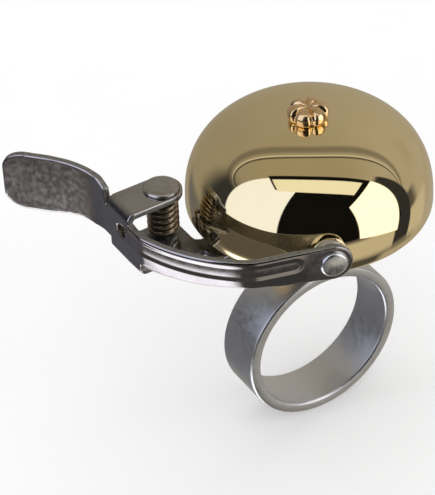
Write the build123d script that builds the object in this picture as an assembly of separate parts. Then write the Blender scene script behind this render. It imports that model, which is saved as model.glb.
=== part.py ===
"""Bicycle bell on a headset spacer ring.

A brass dome stands on a spacer ring that slips over a 1-1/8 inch steerer tube.
A spring-loaded thumb lever beside the dome carries a small hammer.
Units are millimetres. The origin is the centre of the ring's bore, +Z points from
the ring to the dome, and -Y is the side the hammer strikes from.
"""

from build123d import *
import math
import os

# ---- headset spacer ring -------------------------------------------------
BORE_RADIUS = 14.4
RING_RADIUS = 16.65
RING_WIDTH = 10.0
RING_CHAMFER = 0.35

# ---- bell dome -----------------------------------------------------------
DOME_RADIUS = 22.8
DOME_MOUTH_RADIUS = 20.7
DOME_MOUTH_Z = 30.7
DOME_WAIST_Z = 32.5
DOME_TOP_Z = 49.6
DOME_WALL = 1.3
MOUTH_ROUNDING = 0.4
DOME_ROUNDNESS = 2.52
DOME_SEAT_RADIUS = 4.6
DOME_SEAT_CUT = 0.12

# ---- centre bolt and what it clamps, from the ring upwards ---------------
BOLT_RADIUS = 2.0
BOLT_HOLE_RADIUS = 2.15
BOLT_HEAD_RADIUS = 3.4
BOLT_HEAD_Z = 14.45
BOLT_TOP_Z = 51.2
BOLT_SOCKET_FLATS = 2.5
BOLT_SOCKET_DEPTH = 1.3
STRAP_LOW_Z = 24.0
SHEET = 1.5
LOCK_WASHER_RADIUS = 3.6
LOCK_WASHER_THICKNESS = 0.9
BRACKET_NUT_FLATS = 7.0
BRACKET_NUT_HEIGHT = 3.2
NUT_CORNER_BALL = 4.3
WASHER_SPLIT_WIDTH = 0.5
WASHER_SPLIT_TILT = 25.0
STANDOFF_RADIUS = 5.0
STANDOFF_CHAMFER = 0.4
HEAD_CLEARANCE = 0.08
THREAD_CLEARANCE = 0.03
SLEEVE_RADIUS = 3.5
SEAT_WASHER_RADIUS = 4.4
SEAT_WASHER_THICKNESS = 1.0

# ---- dome nut ------------------------------------------------------------
NUT_RADIUS = 3.8
NUT_HEIGHT = 3.1
NUT_LOBES = 6
NUT_VALLEY_ANGLE = 9.25
NUT_VALLEY_RADIUS = 0.75
NUT_VALLEY_LIFT = 0.25
NUT_VALLEY_SLOPE = 8.0
NUT_TOP_FILLET = 1.47
NUT_FOOT_FILLET = 0.93

# ---- base bracket --------------------------------------------------------
PLATE_TOP_Z = 29.4
PLATE_MIN_X = -31.5
PLATE_MAX_X = -22.45
PLATE_MIN_Y = 0.3
PLATE_MAX_Y = 11.0
STRAP_HALF_WIDTH = 3.45
STRAP_END_RADIUS = 6.0
STRAP_OVERLAP = 3.0
PLATE_CORNER_RADIUS = 1.6
JOGGLE_START_X = -19.6
JOGGLE_ANGLE = 50.0
JOGGLE_RADIUS = 1.6

# ---- pivot ---------------------------------------------------------------
PIVOT_X = -28.0
PIVOT_Y = 5.2
PIN_RADIUS = 1.25
PIN_FIT = 0.05
PIN_HEAD_RADIUS = 3.3
PIN_HEAD_HEIGHT = 0.75
PIN_HEAD_RIM = 0.35
PIN_FOOT_CHAMFER = 0.25
PIN_BOTTOM_Z = 26.1
CLIP_THICKNESS = 0.6
CLIP_RADIUS = 3.0
CLIP_GROOVE_RADIUS = 0.9
CLIP_MOUTH = 1.5
CLIP_RELIEF_RADIUS = 0.65
CLIP_RELIEF_OFFSET = 1.3
CLIP_PLAY = 0.02
PIN_WASHER_RADIUS = 3.0
PIN_WASHER_THICKNESS = 0.5
SPACER_RADIUS = 2.9
SPACER_CHAMFER = 0.2
SPRING_SLEEVE_RADIUS = 1.65

# ---- torsion spring ------------------------------------------------------
WIRE_RADIUS = 0.57
COIL_RADIUS = 2.38
COIL_PITCH = 1.27
COIL_TURNS = 5
COIL_BOTTOM_Z = 33.82
LEG_BEND_RADIUS = 0.9
LOW_LEG_REACH = 3.6
LEG_SLOT_Y = 4.4
LEG_SLOT_Z = 37.3
LEG_HOLE_RADIUS = 0.75

# ---- striker lever -------------------------------------------------------
LEVER_SHEET = 1.3
WEB_X = -37.35
EYE_X = -10.87
EYE_Y = -23.98
EYE_Z = 37.05
EYE_RADIUS = 3.55
EYE_HEADING = 163.9
EYE_RUN = 12.5
EYE_OVERRUN = 1.0
ELBOW_RADIUS = 10.1
ELBOW_ANGLE = 22.4
ARM_RADIUS = 32.4
ARM_ANGLE = 33.6
NECK_START_Y = 10.0
NECK_RADIUS = 14.0
NECK_ANGLE = 42.0
ARM_TOP_Z = 40.45
ARM_BOTTOM_Z = 34.8
ARM_END_BOTTOM_Z = 34.0
WEB_BOTTOM_Z = 33.95
UPPER_EAR_TOP_Z = 42.6
UPPER_FOLD_RADIUS = 1.9
UPPER_EAR_RADIUS = 3.75
LOWER_EAR_BOTTOM_Z = 31.5
LOWER_FOLD_RADIUS = 1.4
LOWER_EAR_MIN_Y = -2.3
LOWER_EAR_SHOULDER = 5.0
LOWER_EAR_RADIUS = 2.9
TAB_TOP_Z = 45.6
TAB_BOTTOM_Z = 33.4
TAB_START_Y = 16.0
TAB_END_Y = 28.4
TAB_CORNER_RADIUS = 3.4
NECK_TOP_Z = 44.7
NECK_BOTTOM_Z = 33.7
TAB_JOIN_Y = 21.0
GROOVE_DEPTH = 0.45
GROOVE_HEIGHT = 2.6
GROOVE_Z = 38.2
GROOVE_START_Y = 2.0
GROOVE_END_RUN = 7.1
SLOT_LENGTH = 2.2
SLOT_HEIGHT = 2.3
SLOT_Y = 4.2
SLOT_Z = 37.7
RUNNING_GAP = 0.05

# ---- hammer --------------------------------------------------------------
SLUG_RADIUS = 3.3
SLUG_THICKNESS = 1.55
SLUG_CHAMFER = 0.25
RIVET_SHANK_RADIUS = 1.2
RIVET_HEAD_RADIUS = 2.5
RIVET_HEAD_HEIGHT = 1.1
RIVET_HEAD_RIM = 0.35
RIVET_TAIL_SINK = 0.15
HAMMER_WASHER_THICKNESS = 0.35
HAMMER_WASHER_RADIUS = 2.6


def cylinder(radius, bottom, top, x=0.0, y=0.0):
    """Upright solid cylinder between two heights."""
    middle = (bottom + top) / 2
    return Pos(x, y, middle) * Cylinder(radius, top - bottom)


def tube(outer, inner, bottom, top, x=0.0, y=0.0):
    """Upright ring between two heights."""
    return cylinder(outer, bottom, top, x, y) - cylinder(inner, bottom - 1, top + 1, x, y)


def low_dome(radius, height, z, x=0.0, y=0.0):
    """Spherical cap, flat side down at height z."""
    sphere_radius = (radius**2 + height**2) / (2 * height)
    ball = Pos(x, y, z + height - sphere_radius) * Sphere(sphere_radius)
    return ball & cylinder(radius, z, z + height + 1, x, y)


def hex_prism(flats, bottom, top):
    """Upright hexagonal prism."""
    outline = RegularPolygon(flats / 2, 6, major_radius=False)
    return Pos(0, 0, bottom) * extrude(outline, top - bottom)


def polar(angle, length=1.0):
    """Vector of a given length along a compass angle in the drawing plane."""
    turn = math.radians(angle)
    return Vector(length * math.cos(turn), length * math.sin(turn))


def bent_sheet(start, heading, moves, thickness):
    """Cross-section of a bent sheet.

    One face follows the moves from start; the metal lies to its right.
    A move is (length, 0) for a straight run or (radius, angle) for a bend,
    where a positive angle turns left and radius belongs to the followed face.
    """
    position = Vector(*start)
    followed = []
    backing = []
    first = position + polar(heading - 90, thickness)
    for size, angle in moves:
        inner_start = position + polar(heading - 90, thickness)
        if angle == 0:
            target = position + polar(heading, size)
            inner_end = target + polar(heading - 90, thickness)
            followed.append(Line(position, target))
            backing.append(Line(inner_start, inner_end))
        else:
            side = 90 if angle > 0 else -90
            centre = position + polar(heading + side, size)
            inner_size = size + thickness if angle > 0 else size - thickness
            middle_ray = heading + angle / 2 - side
            end_ray = heading + angle - side
            target = centre + polar(end_ray, size)
            inner_end = centre + polar(end_ray, inner_size)
            followed.append(ThreePointArc(position, centre + polar(middle_ray, size), target))
            backing.append(
                ThreePointArc(inner_start, centre + polar(middle_ray, inner_size), inner_end)
            )
            heading += angle
        position = target
    caps = [Line(Vector(*start), first), Line(position, inner_end)]
    return make_face(followed + backing + caps)


def along_y(section, low, high):
    """Extrude a section drawn in X and Z from y = low to y = high."""
    placed = Plane(origin=(0, low, 0), x_dir=(1, 0, 0), z_dir=(0, -1, 0)) * section
    return extrude(placed, high - low, dir=(0, 1, 0))


# ---- ring and centre stack -----------------------------------------------
def make_spacer_ring():
    """Headset spacer with chamfered edges and a countersunk bolt hole on top."""
    ring = Cylinder(RING_RADIUS, RING_WIDTH) - Cylinder(BORE_RADIUS, RING_WIDTH)
    ring = chamfer(ring.edges().filter_by(GeomType.CIRCLE), RING_CHAMFER)
    ring = Rot(90, 0, 0) * ring
    return ring - cylinder(BOLT_HOLE_RADIUS, 0, RING_RADIUS + 1) - bolt_head(HEAD_CLEARANCE)


def bolt_head(grow=0.0):
    """Countersunk head cone, or the seat for it when grown."""
    depth = BOLT_HEAD_RADIUS - BOLT_RADIUS
    cone = Pos(0, 0, BOLT_HEAD_Z + depth / 2) * Cone(
        BOLT_HEAD_RADIUS + grow, BOLT_RADIUS + grow, depth
    )
    return cone + cylinder(BOLT_HEAD_RADIUS + grow, BOLT_HEAD_Z - 5 * grow, BOLT_HEAD_Z + 0.01)


def make_centre_bolt():
    """Countersunk socket bolt from the bore up into the dome nut."""
    shank = cylinder(BOLT_RADIUS, BOLT_HEAD_Z + 0.5, BOLT_TOP_Z)
    socket = hex_prism(BOLT_SOCKET_FLATS, BOLT_HEAD_Z - 1, BOLT_HEAD_Z + BOLT_SOCKET_DEPTH)
    return shank + bolt_head() - socket


def make_ring_standoff():
    """Round standoff whose foot is hollowed to sit on the ring."""
    post = cylinder(STANDOFF_RADIUS, BORE_RADIUS, STRAP_LOW_Z)
    post = chamfer(post.edges().group_by(Axis.Z)[-1], STANDOFF_CHAMFER)
    saddle = Rot(90, 0, 0) * Cylinder(RING_RADIUS, 4 * STANDOFF_RADIUS)
    return post - saddle - cylinder(BOLT_HOLE_RADIUS, 0, STRAP_LOW_Z + 1)


def make_lock_washer():
    """Split spring washer between the bracket and its nut."""
    bottom = STRAP_LOW_Z + SHEET
    washer = tube(LOCK_WASHER_RADIUS, BOLT_HOLE_RADIUS, bottom, bottom + LOCK_WASHER_THICKNESS)
    blade = Box(LOCK_WASHER_RADIUS, WASHER_SPLIT_WIDTH, LOCK_WASHER_RADIUS)
    split = Pos(LOCK_WASHER_RADIUS, 0, bottom) * Rot(WASHER_SPLIT_TILT, 0, 0) * blade
    return washer - split


def make_bracket_nut():
    """Hexagon nut that clamps the bracket to the standoff."""
    bottom = STRAP_LOW_Z + SHEET + LOCK_WASHER_THICKNESS
    top = bottom + BRACKET_NUT_HEIGHT
    prism = hex_prism(BRACKET_NUT_FLATS, bottom, top)
    corner_cut = Pos(0, 0, (bottom + top) / 2) * Sphere(NUT_CORNER_BALL)
    return (prism & corner_cut) - cylinder(BOLT_RADIUS + THREAD_CLEARANCE, bottom - 1, top + 1)


def make_post_sleeve():
    """Tube that holds the dome above the bracket nut."""
    bottom = STRAP_LOW_Z + SHEET + LOCK_WASHER_THICKNESS + BRACKET_NUT_HEIGHT
    top = dome_seat_z() - SEAT_WASHER_THICKNESS
    return tube(SLEEVE_RADIUS, BOLT_HOLE_RADIUS, bottom, top)


def make_seat_washer():
    """Fibre washer under the crown of the dome."""
    top = dome_seat_z()
    return tube(SEAT_WASHER_RADIUS, BOLT_HOLE_RADIUS, top - SEAT_WASHER_THICKNESS, top)


# ---- dome ----------------------------------------------------------------
def dome_seat_z():
    """Height of the flat seat inside the crown."""
    return DOME_TOP_Z - DOME_WALL - DOME_SEAT_CUT


def crown_point(share, inset=0.0):
    """Point on the crown curve; share runs from 0 at the waist to 1 at the top."""
    turn = share * math.pi / 2
    power = 2 / DOME_ROUNDNESS
    radius = (DOME_RADIUS - inset) * max(math.cos(turn), 0.0) ** power
    height = (DOME_TOP_Z - DOME_WAIST_Z - inset) * math.sin(turn) ** power
    return Vector(radius, 0, DOME_WAIST_Z + height)


def lip_arc(inset):
    """The lip below the waist, drawn in towards the mouth."""
    waist = DOME_RADIUS - inset
    mouth = DOME_MOUTH_RADIUS - inset
    middle = waist - (waist - mouth) / 4
    half = (DOME_WAIST_Z + DOME_MOUTH_Z) / 2
    return ThreePointArc((mouth, 0, DOME_MOUTH_Z), (middle, 0, half), (waist, 0, DOME_WAIST_Z))


def make_bell_dome():
    """Thin brass dome turned about Z, with a rounded mouth edge."""
    shares = [0, 0.06, 0.15, 0.3, 0.45, 0.6, 0.75, 0.88, 0.96]
    outer_points = [crown_point(share) for share in shares]
    inner_points = [crown_point(share, DOME_WALL) for share in shares[:-1]]
    hole = BOLT_HOLE_RADIUS
    seat = dome_seat_z()
    top_edge = outer_points[-1]
    outer = Spline(outer_points + [Vector(hole, 0, DOME_TOP_Z)], tangents=[(0, 0, 1), (-1, 0, 0)])
    seat_corner = Vector(DOME_SEAT_RADIUS, 0, seat)
    inner = Spline(inner_points + [seat_corner], tangents=[(0, 0, 1), (-1, 0, 0)])
    crown_wall = Line((hole, 0, seat), (hole, 0, DOME_TOP_Z))
    seat_line = Line(seat_corner, (hole, 0, seat))
    mouth = ThreePointArc(
        (DOME_MOUTH_RADIUS - DOME_WALL, 0, DOME_MOUTH_Z),
        (DOME_MOUTH_RADIUS - DOME_WALL / 2, 0, DOME_MOUTH_Z - MOUTH_ROUNDING),
        (DOME_MOUTH_RADIUS, 0, DOME_MOUTH_Z),
    )
    section = make_face([lip_arc(0), outer, crown_wall, seat_line, inner, lip_arc(DOME_WALL), mouth])
    return revolve(section, Axis.Z)


def make_dome_nut():
    """Rounded cap nut with radial valleys that part it into lobes."""
    top = DOME_TOP_Z + NUT_HEIGHT
    body = cylinder(NUT_RADIUS, DOME_TOP_Z, top)
    body = fillet(body.edges().group_by(Axis.Z)[-1], NUT_TOP_FILLET)
    body = fillet(body.edges().group_by(Axis.Z)[0], NUT_FOOT_FILLET)
    for index in range(NUT_LOBES):
        angle = NUT_VALLEY_ANGLE + index * 360 / NUT_LOBES
        flute = cylinder(NUT_VALLEY_RADIUS, DOME_TOP_Z - 1, top + 1, NUT_RADIUS + NUT_VALLEY_LIFT)
        trough = Rot(0, 90 + NUT_VALLEY_SLOPE, 0) * Cylinder(NUT_VALLEY_RADIUS, 1.5 * NUT_RADIUS)
        valley = Pos(NUT_RADIUS / 2, 0, top + NUT_VALLEY_LIFT) * trough
        body -= Rot(0, 0, angle) * (flute + valley)
    return body - cylinder(BOLT_RADIUS + THREAD_CLEARANCE, DOME_TOP_Z - 1, BOLT_TOP_Z + 0.1)


# ---- base bracket --------------------------------------------------------
def make_base_bracket():
    """Stamped bracket: a pivot plate outside the dome and a joggled strap under it."""
    drop = PLATE_TOP_Z - SHEET - STRAP_LOW_Z
    bend_rise = JOGGLE_RADIUS * (1 - math.cos(math.radians(JOGGLE_ANGLE)))
    outer_rise = (JOGGLE_RADIUS + SHEET) * (1 - math.cos(math.radians(JOGGLE_ANGLE)))
    slope = (drop - bend_rise - outer_rise) / math.sin(math.radians(JOGGLE_ANGLE))
    moves = [
        (JOGGLE_START_X - PLATE_MIN_X, 0),
        (JOGGLE_RADIUS + SHEET, -JOGGLE_ANGLE),
        (slope, 0),
        (JOGGLE_RADIUS, JOGGLE_ANGLE),
        (40, 0),
    ]
    section = bent_sheet((PLATE_MIN_X, PLATE_TOP_Z), 0, moves, SHEET)
    blank = along_y(section, -20, 20)
    plate = Pos((PLATE_MIN_X + PLATE_MAX_X) / 2, (PLATE_MIN_Y + PLATE_MAX_Y) / 2) * RectangleRounded(
        PLATE_MAX_X - PLATE_MIN_X, PLATE_MAX_Y - PLATE_MIN_Y, PLATE_CORNER_RADIUS
    )
    strap_length = STRAP_OVERLAP - PLATE_MAX_X
    strap = Pos(-strap_length / 2, 0) * Rectangle(strap_length, 2 * STRAP_HALF_WIDTH)
    outline = plate + strap + Circle(STRAP_END_RADIUS)
    bracket = blank & extrude(outline, 60)
    bracket -= cylinder(BOLT_HOLE_RADIUS, 0, 60)
    bracket -= cylinder(PIN_RADIUS + THREAD_CLEARANCE, 0, 60, PIVOT_X, PIVOT_Y)
    return bracket - cylinder(LEG_HOLE_RADIUS, 0, 60, *lower_leg_place())


# ---- pivot ---------------------------------------------------------------
def at_pivot(shape):
    """Move a shape made on the Z axis to the pivot."""
    return Pos(PIVOT_X, PIVOT_Y, 0) * shape


def pin_washer_bottom():
    """Underside of the washer below the bracket plate."""
    return PLATE_TOP_Z - SHEET - PIN_WASHER_THICKNESS


def make_pivot_pin():
    """Headed pin through both ears, grooved below the plate for its clip."""
    head_z = UPPER_EAR_TOP_Z + RUNNING_GAP
    rim_top = head_z + PIN_HEAD_RIM
    rim = cylinder(PIN_HEAD_RADIUS, head_z, rim_top)
    head = rim + low_dome(PIN_HEAD_RADIUS, PIN_HEAD_HEIGHT - PIN_HEAD_RIM, rim_top)
    shank = cylinder(PIN_RADIUS, PIN_BOTTOM_Z, head_z + PIN_HEAD_RIM / 2)
    shank = chamfer(shank.edges().group_by(Axis.Z)[0], PIN_FOOT_CHAMFER)
    groove_top = pin_washer_bottom()
    groove = tube(PIN_RADIUS + 1, CLIP_GROOVE_RADIUS, groove_top - CLIP_THICKNESS, groove_top)
    return at_pivot(head + shank - groove)


def make_pin_washer():
    """Flat washer under the bracket plate."""
    bottom = pin_washer_bottom()
    return at_pivot(tube(PIN_WASHER_RADIUS, PIN_RADIUS + PIN_FIT, bottom, PLATE_TOP_Z - SHEET))


def make_retaining_clip():
    """Open E-clip that sits in the pin's groove."""
    top = pin_washer_bottom() - CLIP_PLAY
    bottom = pin_washer_bottom() - CLIP_THICKNESS + CLIP_PLAY
    middle = (top + bottom) / 2
    clip = tube(CLIP_RADIUS, CLIP_GROOVE_RADIUS + CLIP_PLAY, bottom, top)
    mouth = Pos(CLIP_RADIUS, 0, middle) * Box(2 * CLIP_RADIUS, CLIP_MOUTH, CLIP_RADIUS)
    relief = Pos(CLIP_RELIEF_OFFSET, 0, middle) * Cylinder(CLIP_RELIEF_RADIUS, CLIP_RADIUS)
    reliefs = [Rot(0, 0, angle) * relief for angle in (90, 270)]
    return at_pivot(clip - mouth - reliefs)


def make_pivot_spacer():
    """Thick collar that lifts the lever off the bracket plate."""
    top = LOWER_EAR_BOTTOM_Z - RUNNING_GAP
    collar = tube(SPACER_RADIUS, PIN_RADIUS + PIN_FIT, PLATE_TOP_Z, top)
    return at_pivot(chamfer(collar.edges().group_by(Axis.Z)[-1], SPACER_CHAMFER))


def make_spring_sleeve():
    """Thin sleeve round the pin, inside the coils and between the ears."""
    bottom = LOWER_EAR_BOTTOM_Z + LEVER_SHEET + RUNNING_GAP
    top = UPPER_EAR_TOP_Z - LEVER_SHEET - RUNNING_GAP
    return at_pivot(tube(SPRING_SLEEVE_RADIUS, PIN_RADIUS + PIN_FIT, bottom, top))


# ---- torsion spring ------------------------------------------------------
def lower_leg_place():
    """Plan position of the leg that drops into the bracket."""
    return PIVOT_X + LOW_LEG_REACH, PIVOT_Y + COIL_RADIUS


def make_torsion_spring():
    """Coil round the pin, one leg down into the bracket, one out through the lever.

    Both legs leave the coil on its far side along its own slope, the lower towards
    the dome and the upper towards the web.
    """
    slope = COIL_PITCH / (2 * math.pi * COIL_RADIUS)
    coil = Helix(COIL_PITCH, COIL_PITCH * COIL_TURNS, COIL_RADIUS, center=(0, 0, 0))
    coil = Pos(PIVOT_X, PIVOT_Y, COIL_BOTTOM_Z) * Rot(0, 0, 90) * coil
    low_x, far_y = lower_leg_place()
    low_leg = FilletPolyline(
        (low_x, far_y, PLATE_TOP_Z - SHEET),
        (low_x, far_y, COIL_BOTTOM_Z - LOW_LEG_REACH * slope),
        (PIVOT_X, far_y, COIL_BOTTOM_Z),
        radius=LEG_BEND_RADIUS,
    )
    top_z = COIL_BOTTOM_Z + COIL_PITCH * COIL_TURNS
    inside_web = WEB_X + LEVER_SHEET + WIRE_RADIUS + 2 * RUNNING_GAP
    high_leg = FilletPolyline(
        (PIVOT_X, far_y, top_z),
        (PIVOT_X - 1, far_y, top_z + slope),
        (inside_web, far_y, top_z + slope),
        (inside_web, LEG_SLOT_Y, LEG_SLOT_Z),
        (WEB_X - 4 * RUNNING_GAP, LEG_SLOT_Y, LEG_SLOT_Z),
        radius=LEG_BEND_RADIUS,
    )
    path = Wire([*low_leg.edges(), *coil.edges(), *high_leg.edges()])
    profile = Plane(origin=path @ 0, z_dir=path % 0) * Circle(WIRE_RADIUS)
    return sweep(profile, path=path)


# ---- striker lever -------------------------------------------------------
def eye_frame(outward, run=0.0):
    """Frame on the eye's face: Z points off the face, run slides it back along the arm."""
    normal = polar(EYE_HEADING + 90)
    origin = Vector(EYE_X, EYE_Y, EYE_Z) + normal * outward + polar(EYE_HEADING, run)
    return Plane(origin=origin, x_dir=(0, 0, 1), z_dir=normal)


def path_start():
    """Start of the lever's outer face in plan, just past the end of the eye."""
    return Vector(EYE_X, EYE_Y) + polar(EYE_HEADING + 180, EYE_RADIUS + EYE_OVERRUN)


def path_moves():
    """Bends of the lever's outer face, from the eye round to the thumb end."""
    elbow_turn = EYE_HEADING - ELBOW_ANGLE
    arm_turn = elbow_turn - ARM_ANGLE
    point = Vector(EYE_X, EYE_Y) + polar(EYE_HEADING, EYE_RUN)
    for start, end, radius in (
        (EYE_HEADING, elbow_turn, ELBOW_RADIUS),
        (elbow_turn, arm_turn, ARM_RADIUS),
    ):
        point += polar(start - 90, radius) + polar(end + 90, radius)
    last_turn = arm_turn - 90
    web_bend = (point.X - WEB_X) / (1 - math.cos(math.radians(last_turn)))
    web_start_y = point.Y + web_bend * math.sin(math.radians(last_turn))
    return [
        (EYE_RUN + EYE_RADIUS + EYE_OVERRUN, 0),
        (ELBOW_RADIUS, -ELBOW_ANGLE),
        (ARM_RADIUS, -ARM_ANGLE),
        (web_bend, -last_turn),
        (NECK_START_Y - web_start_y, 0),
        (NECK_RADIUS, NECK_ANGLE),
        (TAB_END_Y - NECK_START_Y, 0),
    ]


def lever_strip(thickness, bottom, top):
    """The lever's plan band as thick as asked from its outer face, between two heights."""
    outline = bent_sheet(tuple(path_start())[:2], EYE_HEADING, path_moves(), thickness)
    return Pos(0, 0, bottom) * extrude(outline, top - bottom)


def arm_elevation():
    """Front view of the arm, extruded through its depth."""
    eye_low = EYE_Z - EYE_RADIUS
    low_edge = Spline(
        (EYE_X, eye_low),
        (EYE_X - 4, ARM_END_BOTTOM_Z),
        (EYE_X - 8, ARM_END_BOTTOM_Z + 0.1),
        (EYE_X - 14, ARM_BOTTOM_Z),
        (EYE_X - 19, ARM_BOTTOM_Z - 0.1),
        (WEB_X - 1, WEB_BOTTOM_Z),
    )
    rest = Polyline(
        (WEB_X - 1, WEB_BOTTOM_Z),
        (WEB_X - 1, ARM_TOP_Z),
        (EYE_X, ARM_TOP_Z),
        (EYE_X, eye_low),
    )
    return along_y(make_face([low_edge, rest]), EYE_Y - 5, LOWER_EAR_MIN_Y)


def tab_elevation():
    """Side view of the web, neck and thumb tab, extruded across the lever."""
    ear_near = PIVOT_Y - UPPER_EAR_RADIUS
    ear_far = PIVOT_Y + UPPER_EAR_RADIUS
    fold_low = UPPER_EAR_TOP_Z - UPPER_FOLD_RADIUS
    body = make_face(
        Polyline(
            (LOWER_EAR_MIN_Y, WEB_BOTTOM_Z),
            (NECK_START_Y, NECK_BOTTOM_Z + 0.4),
            (NECK_START_Y + 3, NECK_BOTTOM_Z),
            (TAB_START_Y, NECK_BOTTOM_Z + 0.35),
            (TAB_JOIN_Y, TAB_BOTTOM_Z),
            (TAB_JOIN_Y, TAB_TOP_Z),
            (NECK_START_Y + 2, NECK_TOP_Z),
            (ear_far + 0.6, NECK_TOP_Z - 1.2),
            (ear_far + 0.1, fold_low),
            (ear_near - 0.1, fold_low),
            (ear_near - 1.2, ARM_TOP_Z),
            (LOWER_EAR_MIN_Y, ARM_TOP_Z),
            close=True,
        )
    )
    tab_length = TAB_END_Y - TAB_START_Y
    tab = Pos((TAB_START_Y + TAB_END_Y) / 2, (TAB_TOP_Z + TAB_BOTTOM_Z) / 2) * RectangleRounded(
        tab_length, TAB_TOP_Z - TAB_BOTTOM_Z, TAB_CORNER_RADIUS
    )
    tab = split(tab, bisect_by=Plane(origin=(TAB_JOIN_Y, 0, 0), z_dir=(1, 0, 0)))
    side = Plane(origin=(-70, 0, 0), x_dir=(0, 1, 0), z_dir=(1, 0, 0))
    return extrude(side * (body + tab), 60)


def make_upper_ear():
    """Ear folded from the top of the web, rounded about the pivot."""
    run = PIVOT_X + UPPER_EAR_RADIUS - WEB_X - UPPER_FOLD_RADIUS
    fold_low = UPPER_EAR_TOP_Z - UPPER_FOLD_RADIUS
    moves = [(fold_low - EYE_Z, 0), (UPPER_FOLD_RADIUS, -90), (run, 0)]
    section = bent_sheet((WEB_X, EYE_Z), 90, moves, LEVER_SHEET)
    ear = along_y(section, PIVOT_Y - UPPER_EAR_RADIUS, PIVOT_Y + UPPER_EAR_RADIUS)
    length = PIVOT_X - WEB_X
    outline = Pos(WEB_X + length / 2, PIVOT_Y) * Rectangle(length, 2 * UPPER_EAR_RADIUS)
    outline += Pos(PIVOT_X, PIVOT_Y) * Circle(UPPER_EAR_RADIUS)
    return ear & extrude(outline, 60)


def make_lower_ear():
    """Ear folded from the bottom of the web, longer towards the hammer."""
    far_y = PIVOT_Y + LOWER_EAR_RADIUS
    run = PIVOT_X + LOWER_EAR_RADIUS - WEB_X - LOWER_FOLD_RADIUS
    rise = EYE_Z - LOWER_EAR_BOTTOM_Z - LOWER_FOLD_RADIUS
    moves = [(run, 0), (LOWER_FOLD_RADIUS, -90), (rise, 0)]
    start = (PIVOT_X + LOWER_EAR_RADIUS, LOWER_EAR_BOTTOM_Z)
    ear = along_y(bent_sheet(start, 180, moves, LEVER_SHEET), LOWER_EAR_MIN_Y, far_y)
    outline = make_face(
        Polyline(
            (WEB_X, LOWER_EAR_MIN_Y),
            (WEB_X + LOWER_EAR_SHOULDER, LOWER_EAR_MIN_Y),
            (PIVOT_X, PIVOT_Y - LOWER_EAR_RADIUS),
            (PIVOT_X, far_y),
            (WEB_X, far_y),
            close=True,
        )
    )
    outline += Pos(PIVOT_X, PIVOT_Y) * Circle(LOWER_EAR_RADIUS)
    return ear & extrude(outline, 60)


def make_groove():
    """Pressed groove from the web's slot to a round end short of the eye."""
    low = GROOVE_Z - GROOVE_HEIGHT / 2
    strip = lever_strip(GROOVE_DEPTH, low, low + GROOVE_HEIGHT)
    end = eye_frame(0, GROOVE_END_RUN).origin
    beyond_end = Pos(end.X, end.Y, GROOVE_Z) * Rot(0, 0, EYE_HEADING) * Pos(40, 0, 0) * Box(80, 90, 9)
    near_side = Pos(-40, GROOVE_START_Y - 30, GROOVE_Z) * Box(80, 60, 9)
    cap_frame = eye_frame(0, GROOVE_END_RUN)
    cap_frame.origin = Vector(end.X, end.Y, GROOVE_Z)
    cap = extrude(cap_frame * Circle(GROOVE_HEIGHT / 2), GROOVE_DEPTH, both=True)
    return (strip & beyond_end & near_side) + cap


def make_striker_lever():
    """One stamping: hammer arm, web with two folded ears, and thumb tab."""
    strip = lever_strip(LEVER_SHEET, LOWER_EAR_BOTTOM_Z, TAB_TOP_Z + 1)
    lever = (strip & arm_elevation()) + (strip & tab_elevation())
    lever += extrude(eye_frame(0) * Circle(EYE_RADIUS), -LEVER_SHEET)
    lever += make_upper_ear()
    lever += make_lower_ear()
    lever -= make_groove()
    slot = Pos(WEB_X, SLOT_Y, SLOT_Z) * Box(4 * LEVER_SHEET, SLOT_LENGTH, SLOT_HEIGHT)
    lever -= slot
    lever -= cylinder(PIN_RADIUS + PIN_FIT, 0, 60, PIVOT_X, PIVOT_Y)
    return lever - extrude(eye_frame(0) * Circle(RIVET_SHANK_RADIUS), 3, both=True)


# ---- hammer --------------------------------------------------------------
def eye_ring(radius, bottom, top):
    """Ring on the hammer rivet between two depths behind the lever's face."""
    ring = Circle(radius) - Circle(RIVET_SHANK_RADIUS)
    return extrude(eye_frame(top) * ring, bottom - top)


def make_hammer_washer():
    """Thin washer between the lever's eye and the hammer slug."""
    back = -LEVER_SHEET
    return eye_ring(HAMMER_WASHER_RADIUS, back - HAMMER_WASHER_THICKNESS, back)


def make_hammer_slug():
    """Disc that strikes the dome."""
    back = -LEVER_SHEET - HAMMER_WASHER_THICKNESS
    slug = eye_ring(SLUG_RADIUS, back - SLUG_THICKNESS, back)
    rims = slug.edges().filter_by(GeomType.CIRCLE).sort_by(SortBy.LENGTH)[-2:]
    return chamfer(rims, SLUG_CHAMFER)


def make_hammer_rivet():
    """Rivet with a domed head outside the eye; its tail is flush inside the slug."""
    depth = LEVER_SHEET + HAMMER_WASHER_THICKNESS + SLUG_THICKNESS - RIVET_TAIL_SINK
    shank = extrude(eye_frame(0) * Circle(RIVET_SHANK_RADIUS), -depth)
    rim = extrude(eye_frame(0) * Circle(RIVET_HEAD_RADIUS), RIVET_HEAD_RIM)
    rise = RIVET_HEAD_HEIGHT - RIVET_HEAD_RIM
    head = eye_frame(RIVET_HEAD_RIM) * low_dome(RIVET_HEAD_RADIUS, rise, 0)
    return shank + rim + head


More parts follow.
